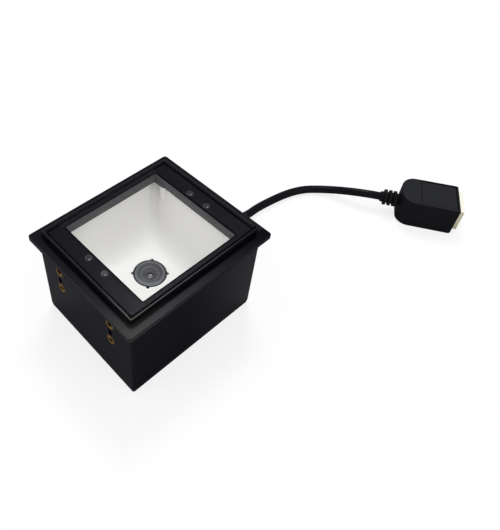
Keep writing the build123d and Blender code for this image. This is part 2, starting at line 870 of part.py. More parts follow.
with BuildPart() as strain_relief:
    with BuildSketch(Plane(origin=jack_rear, x_dir=-heading, z_dir=across)):
        with BuildLine():
            Polyline(
                (0, 0), (relief_l, 0), (relief_l, -relief_tip_r), (0, -relief_root_r), close=True
            )
        make_face()
        for i in range(rib_count):
            with Locations((rib_first + i * rib_pitch, -rib_r / 2)):
                Rectangle(rib_w, rib_r, align=(Align.MIN, Align.CENTER))
    revolve(axis=Axis(jack_rear, heading))

with BuildPart() as connector_housing:
    with BuildSketch(jack_floor) as jack_plan:
        Rectangle(jack_l, jack_w, align=(Align.MIN, Align.CENTER))
        fillet(jack_plan.vertices().group_by(Axis.X)[0], radius=jack_shoulder)
        fillet(jack_plan.vertices().group_by(Axis.X)[-1], radius=jack_corner)
    extrude(amount=jack_h)
    jack_levels = connector_housing.edges().group_by(Axis.Z)
    fillet(jack_levels[0] + jack_levels[-1], radius=jack_round)
    panel_l = jack_l - jack_panel_back - jack_panel_front
    with BuildSketch(jack_floor.offset(jack_h - jack_panel_deep)):
        with Locations((jack_panel_back, 0)):
            Rectangle(
                panel_l, jack_w - 2 * jack_panel_side, align=(Align.MIN, Align.CENTER)
            )
    extrude(amount=jack_panel_deep, mode=Mode.SUBTRACT)
    with BuildSketch(jack_section(jack_l - shell_in)):
        with Locations((0, shell_lift)):
            RectangleRounded(shell_w, shell_h, shell_corner)
    extrude(amount=shell_in, mode=Mode.SUBTRACT)

with BuildPart() as connector_shell:
    with BuildSketch(jack_section(jack_l - shell_in)):
        with Locations((0, shell_lift)):
            RectangleRounded(shell_w, shell_h, shell_corner)
            RectangleRounded(
                shell_w - 2 * shell_wall, shell_h - 2 * shell_wall, shell_corner - shell_wall,
                mode=Mode.SUBTRACT,
            )
    extrude(amount=shell_in + shell_out)

insert_front = jack_l + shell_out - 2 * shell_wall
socket_z = shell_lift + latch_h / 2
with BuildPart() as connector_insert:
    with BuildSketch(jack_section(jack_l - shell_in)):
        with Locations((0, shell_lift)):
            RectangleRounded(
                shell_w - 2 * shell_wall, shell_h - 2 * shell_wall, shell_corner - shell_wall
            )
    extrude(amount=insert_front - jack_l + shell_in)
    with BuildSketch(jack_section(insert_front - socket_deep)):
        with Locations((0, socket_z)):
            Rectangle(socket_w, socket_h)
        with Locations((0, socket_z - socket_h / 2)):
            Rectangle(latch_w, 2 * latch_h)
            Rectangle(latch_step_w, 2 * (latch_h + latch_step_h))
    extrude(amount=socket_deep, mode=Mode.SUBTRACT)

with BuildPart() as connector_contacts:
    contact_top = jack_mid_z + socket_z + socket_h / 2
    contact_z = contact_top - contact_l * sin(radians(contact_tilt))
    for i in range(contact_count):
        offset_y = (i - (contact_count - 1) / 2) * contact_pitch
        start = jack_rear + heading * (insert_front - contact_back) + across * offset_y
        with BuildSketch(
            Plane(origin=(start.X, start.Y, 0), x_dir=heading, z_dir=across)
        ):
            with BuildLine():
                run_x = contact_l * cos(radians(contact_tilt))
                Polyline(
                    (0, -contact_top),
                    (-run_x, -contact_z),
                    (-run_x, contact_t - contact_z),
                    (0, contact_t - contact_top),
                    close=True,
                )
            make_face()
        extrude(amount=contact_w / 2, both=True)

subparts = {
    "case": case,
    "rear_cover": rear_cover,
    "cover_seal": cover_seal,
    "case_screws": case_screws,
    "window_plate": window_plate,
    "window_border": window_border,
    "window_tape": window_tape,
    "light_pipes": light_pipes,
    "indicator_boards": indicator_boards,
    "indicator_leds": indicator_leds,
    "indicator_leads": indicator_leads,
    "reflector": reflector,
    "reflector_screws": reflector_screws,
    "lens_barrel": lens_barrel,
    "front_lens": front_lens,
    "lens_rings": lens_rings,
    "rear_lens": rear_lens,
    "lens_holder": lens_holder,
    "image_sensor": image_sensor,
    "light_board": light_board,
    "light_leds": light_leds,
    "board_spacers": board_spacers,
    "light_screws": light_screws,
    "board_link": board_link,
    "main_board": main_board,
    "decoder_chip": decoder_chip,
    "memory_chip": memory_chip,
    "buzzer": buzzer,
    "board_header": board_header,
    "inner_plug": inner_plug,
    "cable_tail": cable_tail,
    "grommet": grommet,
    "inserts_left": inserts_left,
    "inserts_right": inserts_right,
    "cable": cable,
    "strain_relief": strain_relief,
    "connector_housing": connector_housing,
    "connector_shell": connector_shell,
    "connector_insert": connector_insert,
    "connector_contacts": connector_contacts,
}
for name, made in subparts.items():
    made.part.label = name
    export_step(made.part, f"parts/{name}.step")
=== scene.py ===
import bpy
import math
from mathutils import Matrix, Vector


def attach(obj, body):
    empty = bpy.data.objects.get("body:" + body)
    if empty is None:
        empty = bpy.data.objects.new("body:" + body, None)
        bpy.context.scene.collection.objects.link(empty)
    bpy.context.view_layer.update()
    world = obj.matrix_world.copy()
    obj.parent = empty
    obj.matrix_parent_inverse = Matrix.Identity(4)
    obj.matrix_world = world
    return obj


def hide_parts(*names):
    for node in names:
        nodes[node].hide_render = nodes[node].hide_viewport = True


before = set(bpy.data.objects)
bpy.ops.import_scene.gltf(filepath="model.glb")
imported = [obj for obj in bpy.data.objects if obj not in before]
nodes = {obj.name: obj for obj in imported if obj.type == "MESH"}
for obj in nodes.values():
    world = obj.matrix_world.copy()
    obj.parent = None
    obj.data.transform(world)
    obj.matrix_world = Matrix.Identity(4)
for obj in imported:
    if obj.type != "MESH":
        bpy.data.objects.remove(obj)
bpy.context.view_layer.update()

scene = bpy.context.scene

# The photograph's view: the reader stands on a white sweep and is seen from its left front corner,
# from about 46 degrees up. The frame's centre is right of and below the middle of the lens's view.
view_from = Vector((-0.10746, -0.12363, 0.23474))
view_right = Vector((0.7531, -0.6579, -0.0004))
view_up = Vector((0.4723, 0.5403, 0.6964))
view_back = Vector((-0.458, -0.5247, 0.7176))
camera_data = bpy.data.cameras.new("photo_view")
camera_data.sensor_fit = "HORIZONTAL"
camera_data.sensor_width = 36.0
camera_data.lens = 41.862
camera_data.shift_x = 0.1986
camera_data.shift_y = -0.1137
camera_data.clip_start = 0.01
camera_data.clip_end = 20.0
camera = bpy.data.objects.new("photo_view", camera_data)
scene.collection.objects.link(camera)
view_turn = Matrix((view_right, view_up, view_back)).transposed()
camera.matrix_world = Matrix.Translation(view_from) @ view_turn.to_4x4()
scene.camera = camera
scene.view_settings.view_transform = "Standard"

# The studio: a white sweep that keeps a faint shadow of the reader, white all round for the eye and
# in reflections, and soft boxes high behind the reader, at its left and in front of it.
floor_reach = 3.0
floor_paint = (0.96, 0.96, 0.96, 1)
plain_white = (1, 1, 1, 1)
glow_share = 0.78
glow_lost_in_mirrors = 0.63
room_strength = 0.70
lamp_aim = Vector((0.0, 0.0, 0.03))
lamp_colour = (0.93, 0.95, 1.0)


def calculate(tree, operation, first, second=0.0):
    """Adds a Math node to a tree; a number is set on its socket and an output is linked to it."""
    sums = tree.nodes.new("ShaderNodeMath")
    sums.operation = operation
    for socket, value in zip(sums.inputs, (first, second)):
        if isinstance(value, (int, float)):
            socket.default_value = value
        else:
            tree.links.new(value, socket)
    return sums.outputs[0]


def white_for_the_eye(tree, shaded, white, result):
    """Shows white to the eye, in mirrors and through glass, and the shaded surface otherwise."""
    ray = tree.nodes.new("ShaderNodeLightPath")
    seen = calculate(tree, "MAXIMUM", ray.outputs["Is Camera Ray"], ray.outputs["Is Glossy Ray"])
    shown = calculate(tree, "MAXIMUM", seen, ray.outputs["Is Transmission Ray"])
    blend = tree.nodes.new("ShaderNodeMixShader")
    tree.links.new(shown, blend.inputs[0])
    tree.links.new(shaded, blend.inputs[1])
    tree.links.new(white, blend.inputs[2])
    tree.links.new(blend.outputs[0], result)


floor_mesh = bpy.data.meshes.new("floor")
floor_corners = [
    (x * floor_reach, y * floor_reach, 0) for x, y in ((-1, -1), (1, -1), (1, 1), (-1, 1))
]
floor_mesh.from_pydata(floor_corners, [], [(0, 1, 2, 3)])
floor = bpy.data.objects.new("floor", floor_mesh)
scene.collection.objects.link(floor)
floor_white = bpy.data.materials.new("floor_white")
floor_white.use_nodes = True
floor_tree = floor_white.node_tree
floor_shader = floor_tree.nodes["Principled BSDF"]
floor_shader.inputs["Base Color"].default_value = floor_paint
floor_shader.inputs["Roughness"].default_value = 0.9
floor_shader.inputs["Specular IOR Level"].default_value = 0.0
floor_glow = floor_tree.nodes.new("ShaderNodeEmission")
floor_glow.inputs["Strength"].default_value = 1.0
floor_ray = floor_tree.nodes.new("ShaderNodeLightPath")
mirror_loss = calculate(
    floor_tree, "MULTIPLY", floor_ray.outputs["Is Glossy Ray"], glow_lost_in_mirrors
)
faint_shadow = floor_tree.nodes.new("ShaderNodeMixShader")
floor_tree.links.new(
    calculate(floor_tree, "SUBTRACT", glow_share, mirror_loss), faint_shadow.inputs[0]
)
floor_tree.links.new(floor_shader.outputs[0], faint_shadow.inputs[1])
floor_tree.links.new(floor_glow.outputs[0], faint_shadow.inputs[2])
white_for_the_eye(
    floor_tree, floor_shader.outputs[0], faint_shadow.outputs[0],
    floor_tree.nodes["Material Output"].inputs["Surface"],
)
floor_mesh.materials.append(floor_white)

world = bpy.data.worlds.new("studio_white")
world.use_nodes = True
scene.world = world
world_tree = world.node_tree
world_tree.nodes.clear()
eye_white = world_tree.nodes.new("ShaderNodeBackground")
eye_white.inputs["Color"].default_value = plain_white
eye_white.inputs["Strength"].default_value = 1.0
room_light = world_tree.nodes.new("ShaderNodeBackground")
room_light.inputs["Color"].default_value = plain_white
room_light.inputs["Strength"].default_value = room_strength
world_out = world_tree.nodes.new("ShaderNodeOutputWorld")
white_for_the_eye(
    world_tree, room_light.outputs[0], eye_white.outputs[0], world_out.inputs["Surface"]
)

for lamp_name, place, size, power in (
    ("overhead_soft", Vector((0.39, 0.35, 1.05)), 0.3, 5.2),
    ("left_soft", Vector((-0.9, 0.35, 0.55)), 0.5, 2.0),
    ("front_soft", Vector((0.15, -0.8, 0.9)), 0.5, 1.8),
):
    lamp_data = bpy.data.lights.new(lamp_name, "AREA")
    lamp_data.shape = "SQUARE"
    lamp_data.size = size
    lamp_data.energy = power
    lamp_data.color = lamp_colour
    lamp = bpy.data.objects.new(lamp_name, lamp_data)
    scene.collection.objects.link(lamp)
    lamp.location = place
    lamp.rotation_euler = (lamp_aim - place).to_track_quat("-Z", "Y").to_euler()

# The cable: a round eight-core lead in a smooth black PVC sheath, 4.4 mm thick and 120 mm long,
# moulded to the grommet at the case and to the strain relief of its socket at the far end.
cable_r = 0.0022
cable_route = [
    (0.0424, 0.0073, 0.0120),
    (0.0535, 0.0073, 0.0120),
    (0.0748, 0.0073, 0.0022),
    (0.0883, 0.0076, 0.0022),
    (0.1134, 0.0028, 0.0022),
    (0.1264, -0.0079, 0.0022),
    (0.13274, -0.02600, 0.00875),
    (0.13845, -0.03494, 0.00875),
]
cable_curve = bpy.data.curves.new("cable_sheath", "CURVE")
cable_curve.dimensions = "3D"
spline = cable_curve.splines.new("NURBS")
spline.points.add(len(cable_route) - 1)
for point, place in zip(spline.points, cable_route):
    point.co = (*place, 1.0)
spline.order_u = 3
spline.use_endpoint_u = True
spline.resolution_u = 24
cable_curve.bevel_depth = cable_r
cable_curve.bevel_resolution = 8
cable_curve.use_fill_caps = True
cable = bpy.data.objects.new("cable_sheath", cable_curve)
scene.collection.objects.link(cable)


def shader_group(name, given, results):
    """Starts an empty shader node group and returns it with its input and output nodes."""
    tree = bpy.data.node_groups.new(name, "ShaderNodeTree")
    for label in given:
        tree.interface.new_socket(label, in_out="INPUT", socket_type="NodeSocketFloat")
    for label, kind in results:
        tree.interface.new_socket(label, in_out="OUTPUT", socket_type=kind)
    return tree, tree.nodes.new("NodeGroupInput"), tree.nodes.new("NodeGroupOutput")


def use_group(tree, group, values):
    """Puts a node group into a tree with its input values."""
    node = tree.nodes.new("ShaderNodeGroup")
    node.node_tree = group
    for label, value in values.items():
        node.inputs[label].default_value = value
    return node


def mix_colours(tree, factor, first, second):
    """Mixes two colours; a colour is set on its socket and an output is linked to it."""
    mix = tree.nodes.new("ShaderNodeMix")
    mix.data_type = "RGBA"
    tree.links.new(factor, mix.inputs["Factor"])
    for socket, value in (("A", first), ("B", second)):
        if isinstance(value, tuple):
            mix.inputs[socket].default_value = (*value, 1)
        else:
            tree.links.new(value, mix.inputs[socket])
    return mix.outputs["Result"]


# Grain: the fine relief of a spark-eroded mould or of a cast skin, and slow patches of tone and gloss.
grain, grain_in, grain_out = shader_group(
    "mould_grain", ("Grain Size", "Patch Size"),
    (("Height", "NodeSocketFloat"), ("Tone", "NodeSocketFloat"), ("Gloss", "NodeSocketFloat")),
)
grain_place = grain.nodes.new("ShaderNodeTexCoord")
for size_name, result, detail, shift in (
    ("Grain Size", "Height", 3.0, 0.0),
    ("Patch Size", "Tone", 4.0, 0.0),
    ("Patch Size", "Gloss", 3.0, 0.3),
):
    speckle = grain.nodes.new("ShaderNodeTexNoise")
    speckle.inputs["Detail"].default_value = detail
    moved = grain.nodes.new("ShaderNodeMapping")
    moved.inputs["Location"].default_value = (shift, shift, shift)
    grain.links.new(grain_place.outputs["Object"], moved.inputs["Vector"])
    grain.links.new(moved.outputs[0], speckle.inputs["Vector"])
    fineness = calculate(grain, "DIVIDE", 1.0, grain_in.outputs[size_name])
    grain.links.new(fineness, speckle.inputs["Scale"])
    grain.links.new(speckle.outputs["Fac"], grain_out.inputs[result])

# Edge: the rounded corner that every mould leaves, and a paler line along the edges, a painted
# highlight broken up unevenly along its length.
break_up_least = 3.0
break_up_swing = 3.0
open_reach = 4.0
open_contrast = 3.0
edge, edge_in, edge_out = shader_group(
    "painted_edge_highlight", ("Radius", "Patch Size"),
    (("Line", "NodeSocketFloat"), ("Open", "NodeSocketFloat"), ("Normal", "NodeSocketVector")),
)
rounding = edge.nodes.new("ShaderNodeBevel")
rounding.samples = 6
edge.links.new(edge_in.outputs["Radius"], rounding.inputs["Radius"])
edge.links.new(rounding.outputs["Normal"], edge_out.inputs["Normal"])
true_face = edge.nodes.new("ShaderNodeNewGeometry")
facing = edge.nodes.new("ShaderNodeVectorMath")
facing.operation = "DOT_PRODUCT"
edge.links.new(rounding.outputs["Normal"], facing.inputs[0])
edge.links.new(true_face.outputs["Normal"], facing.inputs[1])
bent = calculate(edge, "SUBTRACT", 1.0, facing.outputs["Value"])
break_up_place = edge.nodes.new("ShaderNodeTexCoord")
break_up = edge.nodes.new("ShaderNodeTexNoise")
break_up.inputs["Detail"].default_value = 4.0
edge.links.new(break_up_place.outputs["Object"], break_up.inputs["Vector"])
edge.links.new(calculate(edge, "DIVIDE", 1.0, edge_in.outputs["Patch Size"]), break_up.inputs["Scale"])
uneven = calculate(edge, "ADD", calculate(edge, "MULTIPLY", break_up.outputs["Fac"], break_up_swing), break_up_least)
open_air = edge.nodes.new("ShaderNodeAmbientOcclusion")
open_air.samples = 4
edge.links.new(
    calculate(edge, "MULTIPLY", edge_in.outputs["Radius"], open_reach), open_air.inputs["Distance"]
)
outward = calculate(edge, "POWER", open_air.outputs["AO"], open_contrast)
edge_highlight_line = calculate(edge, "MULTIPLY", calculate(edge, "MULTIPLY", bent, uneven), outward)
edge.links.new(calculate(edge, "MINIMUM", edge_highlight_line, 1.0), edge_out.inputs["Line"])
edge.links.new(outward, edge_out.inputs["Open"])


def finish(
    name, dark, light, roughness, grain_size=0.0005, grain_depth=0.0, patch=0.02,
    edge_highlight_colour=None, edge_radius=0.0003, metallic=0.0, specular=0.5, gloss_film=0.0,
):
    """A finish whose tone and gloss wander, with a fine relief and a paler line along its edges, a
    painted highlight.
    """
    gloss_swing = 0.2
    film_roughness = 0.28
    relief_strength = 0.6
    edge_shine = 4
    material = bpy.data.materials.new(name)
    material.use_nodes = True
    tree = material.node_tree
    shader = tree.nodes["Principled BSDF"]
    shader.inputs["Metallic"].default_value = metallic
    shader.inputs["Specular IOR Level"].default_value = specular
    shader.inputs["Coat Weight"].default_value = gloss_film
    shader.inputs["Coat Roughness"].default_value = film_roughness
    texture = use_group(tree, grain, {"Grain Size": grain_size, "Patch Size": patch})
    colour = mix_colours(tree, texture.outputs["Tone"], dark, light)
    gloss = calculate(tree, "MULTIPLY", texture.outputs["Gloss"], gloss_swing)
    wandering = calculate(tree, "ADD", gloss, roughness - gloss_swing / 2)
    tree.links.new(wandering, shader.inputs["Roughness"])
    relief = tree.nodes.new("ShaderNodeBump")
    relief.inputs["Strength"].default_value = relief_strength
    relief.inputs["Distance"].default_value = grain_depth
    tree.links.new(texture.outputs["Height"], relief.inputs["Height"])
    if edge_highlight_colour:
        corner = use_group(tree, edge, {"Radius": edge_radius, "Patch Size": patch / 10})
        # The paler edge line is a painted highlight.
        colour = mix_colours(tree, corner.outputs["Line"], colour, edge_highlight_colour)
        tree.links.new(corner.outputs["Normal"], relief.inputs["Normal"])
        film = calculate(tree, "MULTIPLY", corner.outputs["Open"], gloss_film)
        shine = calculate(tree, "MULTIPLY", corner.outputs["Line"], edge_shine * gloss_film)
        tree.links.new(calculate(tree, "ADD", film, shine), shader.inputs["Coat Weight"])
    tree.links.new(colour, shader.inputs["Base Color"])
    if grain_depth or edge_highlight_colour:
        tree.links.new(relief.outputs["Normal"], shader.inputs["Normal"])
    return material


sheath_black = finish(
    "sheath_black", (0.0022, 0.0024, 0.0044), (0.0040, 0.0043, 0.0068), 0.42,
    grain_size=0.0008, grain_depth=0.00001, patch=0.006, specular=0.0, gloss_film=0.12,
)
cable_curve.materials.append(sheath_black)
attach(cable, "root")
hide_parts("cable")

# The case and its rear cover: two injection mouldings in black ABS with the fine spark-eroded grain
# of the tool. The cover closes the back and is held by four screws from the rear.
abs_dark = (0.0027, 0.0028, 0.0052)
abs_light = (0.0047, 0.0049, 0.0082)
# Pale edge colour: a painted highlight along the case's edges.
abs_edge_highlight = (0.10, 0.10, 0.10)
abs_edge_radius = 0.00022
abs_grain = 0.0005
abs_grain_depth = 0.000008


def piece_box(name):
    """The lowest and highest corner of a CAD piece."""
    places = [vertex.co for vertex in nodes[name].data.vertices]
    low = Vector([min(place[axis] for place in places) for axis in range(3)])
    high = Vector([max(place[axis] for place in places) for axis in range(3)])
    return low, high


def dress(material, *names):
    """Puts a finish on CAD pieces."""
    for name in names:
        for place in nodes[name].material_slots:
            place.material = material


def object_axes(tree):
    """The three coordinates of a place on the object."""
    place = tree.nodes.new("ShaderNodeTexCoord")
    axes = tree.nodes.new("ShaderNodeSeparateXYZ")
    tree.links.new(place.outputs["Object"], axes.inputs[0])
    return axes.outputs


def overlap(tree, mask, *others):
    """The product of several masks."""
    for other in others:
        mask = calculate(tree, "MULTIPLY", mask, other)
    return mask


def between(tree, value, low, high):
    """A mask that is 1 where a value lies between two others."""
    above = calculate(tree, "GREATER_THAN", value, low)
    return overlap(tree, above, calculate(tree, "LESS_THAN", value, high))


def fade(tree, value, none, full):
    """A mask that rises evenly from 0 to 1 as a value goes from one number to another."""
    ramp = tree.nodes.new("ShaderNodeMapRange")
    ramp.inputs["From Min"].default_value = none
    ramp.inputs["From Max"].default_value = full
    tree.links.new(value, ramp.inputs["Value"])
    return ramp.outputs["Result"]


def diagonal(tree, first, second):
    """The diagonal of a rectangle with two given sides."""
    squares = [calculate(tree, "POWER", side, 2.0) for side in (first, second)]
    return calculate(tree, "SQRT", calculate(tree, "ADD", *squares))


def paint_over(material, mask, colour=None, film=None):
    """Lays a colour, a gloss film or both over a finish where the mask is 1."""
    tree = material.node_tree
    shader = tree.nodes["Principled BSDF"]
    if colour is not None:
        base = shader.inputs["Base Color"]
        tree.links.new(mix_colours(tree, mask, base.links[0].from_socket, colour), base)
    if film is not None:
        gloss = shader.inputs["Coat Weight"]
        kept = gloss.links[0].from_socket if gloss.links else gloss.default_value
        bare = calculate(tree, "MULTIPLY", kept, calculate(tree, "SUBTRACT", 1.0, mask))
        laid = calculate(tree, "MULTIPLY", mask, film)
        tree.links.new(calculate(tree, "ADD", bare, laid), gloss)


# Outline: the distance of a place from the edge of an upright rounded rectangle, less than 0 inside.
outline, outline_in, outline_out = shader_group(
    "plate_outline", ("Centre X", "Centre Y", "Turn", "Half X", "Half Y", "Corner"),
    (("Distance", "NodeSocketFloat"), ("Level", "NodeSocketFloat")),
)
outline_place = outline.nodes.new("ShaderNodeTexCoord")
outline_centre = outline.nodes.new("ShaderNodeCombineXYZ")
outline.links.new(outline_in.outputs["Centre X"], outline_centre.inputs["X"])
outline.links.new(outline_in.outputs["Centre Y"], outline_centre.inputs["Y"])
from_centre = outline.nodes.new("ShaderNodeVectorMath")
from_centre.operation = "SUBTRACT"
outline.links.new(outline_place.outputs["Object"], from_centre.inputs[0])
outline.links.new(outline_centre.outputs["Vector"], from_centre.inputs[1])
turned_back = outline.nodes.new("ShaderNodeVectorRotate")
turned_back.rotation_type = "Z_AXIS"
outline.links.new(from_centre.outputs["Vector"], turned_back.inputs["Vector"])
outline.links.new(
    calculate(outline, "MULTIPLY", outline_in.outputs["Turn"], -1.0), turned_back.inputs["Angle"]
)
sides = outline.nodes.new("ShaderNodeSeparateXYZ")
outline.links.new(turned_back.outputs["Vector"], sides.inputs[0])
corner_r = outline_in.outputs["Corner"]
past = []
for axis in ("X", "Y"):
    straight = calculate(outline, "SUBTRACT", outline_in.outputs["Half " + axis], corner_r)
    reach = calculate(outline, "ABSOLUTE", sides.outputs[axis])
    past.append(calculate(outline, "SUBTRACT", reach, straight))
beyond = diagonal(outline, *(calculate(outline, "MAXIMUM", value, 0.0) for value in past))
short = calculate(outline, "MINIMUM", calculate(outline, "MAXIMUM", *past), 0.0)
from_edge = calculate(outline, "SUBTRACT", calculate(outline, "ADD", beyond, short), corner_r)
outline.links.new(from_edge, outline_out.inputs["Distance"])
outline.links.new(sides.outputs["Z"], outline_out.inputs["Level"])

case_black = finish(
    "case_black", abs_dark, abs_light, 0.35, abs_grain, abs_grain_depth,
    edge_highlight_colour=abs_edge_highlight, edge_radius=abs_edge_radius, specular=0.0, gloss_film=0.11,
)
case_tree = case_black.node_tree
case_axes = object_axes(case_tree)
case_level = case_axes["Z"]

# Inside the mouth: painted light on the walls of the window's recess above its seat, and on the inner
# walls for the light that the white bowl throws on them.
case_x, case_y, case_top = piece_box("case")[1]
collar_margin = 0.0046
collar_x = case_x - collar_margin
collar_y = case_y - collar_margin
recess_x = collar_x - 0.00065
recess_y = collar_y - 0.00065
recess_floor = case_top - 0.0018
opening_x = 0.0255
opening_y = 0.02525
throat_x = opening_x + 0.0007
throat_y = opening_y + 0.00065
throat_floor = case_top - 0.0078
for half_x, half_y, floor_level, colour in (
    (recess_x, recess_y, recess_floor, (0.030, 0.030, 0.032)),
    (throat_x, throat_y, throat_floor, (0.115, 0.115, 0.12)),
):
    well = use_group(case_tree, outline, {"Half X": half_x, "Half Y": half_y})
    lit_well = overlap(
        case_tree,
        calculate(case_tree, "LESS_THAN", well.outputs["Distance"], 0.0),
        calculate(case_tree, "GREATER_THAN", case_level, floor_level),
    )
    # Painted light on the recess and throat walls.
    paint_over(case_black, lit_well, colour)

# The long walls: duller than the rest, and glossier toward the cable's end.
level_fit = 0.0003
flange_top = case_top - 0.0035
flange_under = flange_top - 0.0025
wall_y = case_y - 0.0033
wall_film = 0.052
glossy_film = 0.15
gloss_start_x = -0.005
gloss_full_x = 0.032
from_middle_y = calculate(case_tree, "ABSOLUTE", case_axes["Y"])
on_long_side = overlap(
    case_tree,
    calculate(case_tree, "GREATER_THAN", from_middle_y, wall_y),
    calculate(case_tree, "LESS_THAN", case_level, flange_under - level_fit),
)
paint_over(case_black, on_long_side, film=wall_film)
toward_cable = fade(case_tree, case_axes["X"], gloss_start_x, gloss_full_x)
paint_over(case_black, overlap(case_tree, on_long_side, toward_cable), film=glossy_film)

# The flange: painted shade at the collar's foot, and painted shade under its overhang.
foot_back = 0.0001
foot_rise = 0.0007
foot_shade_width = 0.006
foot_shade_most = 0.45
shade_start = flange_under - 0.0039
shade_full = flange_under - 0.0028
rim_start = flange_under + 0.0007
rim_end = flange_under + 0.0013
foot_shade_black = (0.0015, 0.0015, 0.0028)
shade_black = (0.0012, 0.0012, 0.0022)
collar = use_group(case_tree, outline, {"Half X": collar_x, "Half Y": collar_y})
off_collar = collar.outputs["Distance"]
outside = calculate(case_tree, "GREATER_THAN", off_collar, -foot_back)
on_flange = overlap(
    case_tree,
    between(case_tree, case_level, flange_top - level_fit, flange_top + foot_rise),
    outside,
)
foot_shade = calculate(
    case_tree, "SUBTRACT", foot_shade_most, calculate(case_tree, "DIVIDE", off_collar, foot_shade_width)
)
at_foot = overlap(case_tree, calculate(case_tree, "MAXIMUM", foot_shade, 0.0), on_flange)
# Painted shade on the flange at the collar's foot.
paint_over(case_black, at_foot, foot_shade_black, film=0.0)
under_flange = overlap(
    case_tree,
    fade(case_tree, case_level, shade_start, shade_full),
    calculate(case_tree, "LESS_THAN", case_level, rim_start),
    outside,
)
# Painted shade on the wall under the flange's overhang.
paint_over(case_black, under_flange, shade_black, film=0.0)

# Painted light: lip, flange and rim are painted lighter toward the front corner as painted highlight
# and sheen, and one flange is painted darker away from it as painted shade.
lip_line = 0.0004
lip_back = 0.0009
lip_inner_y = 0.0019 - collar_y
rim_back = 0.001
lip_highlight = (0.075, 0.072, 0.060)
flange_sheen = (0.022, 0.021, 0.020)
flange_far_shade = (0.0005, 0.0005, 0.0010)
rim_highlight = (0.045, 0.043, 0.037)
groove_shade_black = (0.0015, 0.0015, 0.0025)
on_lip = overlap(
    case_tree,
    calculate(case_tree, "GREATER_THAN", off_collar, -lip_line),
    calculate(case_tree, "GREATER_THAN", case_level, case_top - level_fit),
)
on_rim = between(case_tree, case_level, rim_start, rim_end)
for place, across, side, along, none, full, colour, film in (
    (on_lip, "Y", lip_back - collar_y, "X", 0.030, -0.035, lip_highlight, None),
    (on_lip, "X", lip_back - collar_x, "Y", -0.012, -0.029, lip_highlight, None),
    (on_flange, "Y", foot_back - collar_y, "X", -0.012, -0.038, flange_sheen, None),
    (on_flange, "X", foot_back - collar_x, "Y", -0.016, -0.034, flange_sheen, None),
    (on_flange, "Y", foot_back - collar_y, "X", -0.018, 0.062, flange_far_shade, 0.02),
    (on_rim, "Y", rim_back - case_y, "X", 0.005, -0.038, rim_highlight, None),
    (on_rim, "X", rim_back - case_x, "Y", 0.005, -0.034, rim_highlight, None),
):
    this_side = calculate(case_tree, "LESS_THAN", case_axes[across], side)
    painted_light_fade = fade(case_tree, case_axes[along], none, full)
    # Painted highlight, sheen and shade on lip, flange and rim.
    paint_over(case_black, overlap(case_tree, this_side, painted_light_fade, place), colour, film)
# Painted shade in the groove between the lip and the window on the -Y side.
lip_groove_shade = overlap(
    case_tree,
    between(case_tree, off_collar, -lip_back, -lip_line),
    calculate(case_tree, "LESS_THAN", case_axes["Y"], lip_inner_y),
)
paint_over(case_black, lip_groove_shade, groove_shade_black, film=0.02)
dress(case_black, "case")
cover_black = finish(
    "cover_black", abs_dark, abs_light, 0.35, abs_grain, abs_grain_depth, patch=0.03,
    edge_highlight_colour=abs_edge_highlight, edge_radius=abs_edge_radius, specular=0.0, gloss_film=0.13,
)
dress(cover_black, "rear_cover")

# The side inserts: eight brass nuts, knurled on the outside and threaded within, pressed into bosses
# of the case's two shorter sides, in pairs above and below the blind slots for a bracket.
insert_r = 0.00245
insert_bore = 0.00125
insert_pitch = 0.011
insert_break = 0.00015
insert_seat = 0.00035
insert_lead = 0.0005
knurl_depth = 0.00012
groove_r = 0.0019
groove_deep = 0.0002
thread_pitch = 0.0007
thread_size = 0.00022
hollow_reach = 0.003
hollow_strength = 2.4
turned_brass = finish(
    "turned_brass", (0.13, 0.066, 0.020), (0.42, 0.235, 0.085), 0.34,
    grain_size=0.0002, grain_depth=0.000005, patch=0.0010,
    edge_highlight_colour=(0.6, 0.38, 0.16), edge_radius=0.0001, metallic=1.0,
)
brass_tree = turned_brass.node_tree
brass_tree.nodes["Principled BSDF"].inputs["Specular Tint"].default_value = (0.95, 0.78, 0.5, 1)


def open_to_air(tree, reach, samples):
    """How open a place lies, from 0 deep in a hollow to 1 on a free face."""
    air = tree.nodes.new("ShaderNodeAmbientOcclusion")
    air.samples = samples
    air.inputs["Distance"].default_value = reach
    return air.outputs["AO"]


sunk = calculate(brass_tree, "SUBTRACT", 1.0, open_to_air(brass_tree, hollow_reach, 6))
hollow_shade = calculate(brass_tree, "MULTIPLY", sunk, hollow_strength)
# Painted shade in the hollows of the brass.
paint_over(turned_brass, calculate(brass_tree, "MINIMUM", hollow_shade, 1.0), (0.010, 0.005, 0.001))


def turned_mesh(name, profile, sides, knurl=0.0):
    """Turns a closed profile of (radius, height, knurled) points about Z into a body."""
    points = []
    for radius, height, knurled in profile:
        for side in range(sides):
            angle = 2 * math.pi * side / sides
            tooth = knurl if knurled and (side + knurled) % 2 else 0.0
            cut = radius - tooth
            points.append((cut * math.cos(angle), cut * math.sin(angle), height))
    faces = []
    for ring in range(len(profile)):
        above = (ring + 1) % len(profile)
        for side in range(sides):
            beside = (side + 1) % sides
            faces.append((
                ring * sides + side, ring * sides + beside,
                above * sides + beside, above * sides + side,
            ))
    mesh = bpy.data.meshes.new(name)
    mesh.from_pydata(points, [], faces)
    return mesh


def geometry_tree(name, given):
    """Starts a Geometry Nodes tree that takes and gives a mesh, with named inputs."""
    tree = bpy.data.node_groups.new(name, "GeometryNodeTree")
    tree.interface.new_socket("Geometry", in_out="INPUT", socket_type="NodeSocketGeometry")
    for label, kind in given:
        tree.interface.new_socket(label, in_out="INPUT", socket_type=kind)
    tree.interface.new_socket("Geometry", in_out="OUTPUT", socket_type="NodeSocketGeometry")
    return tree, tree.nodes.new("NodeGroupInput"), tree.nodes.new("NodeGroupOutput")


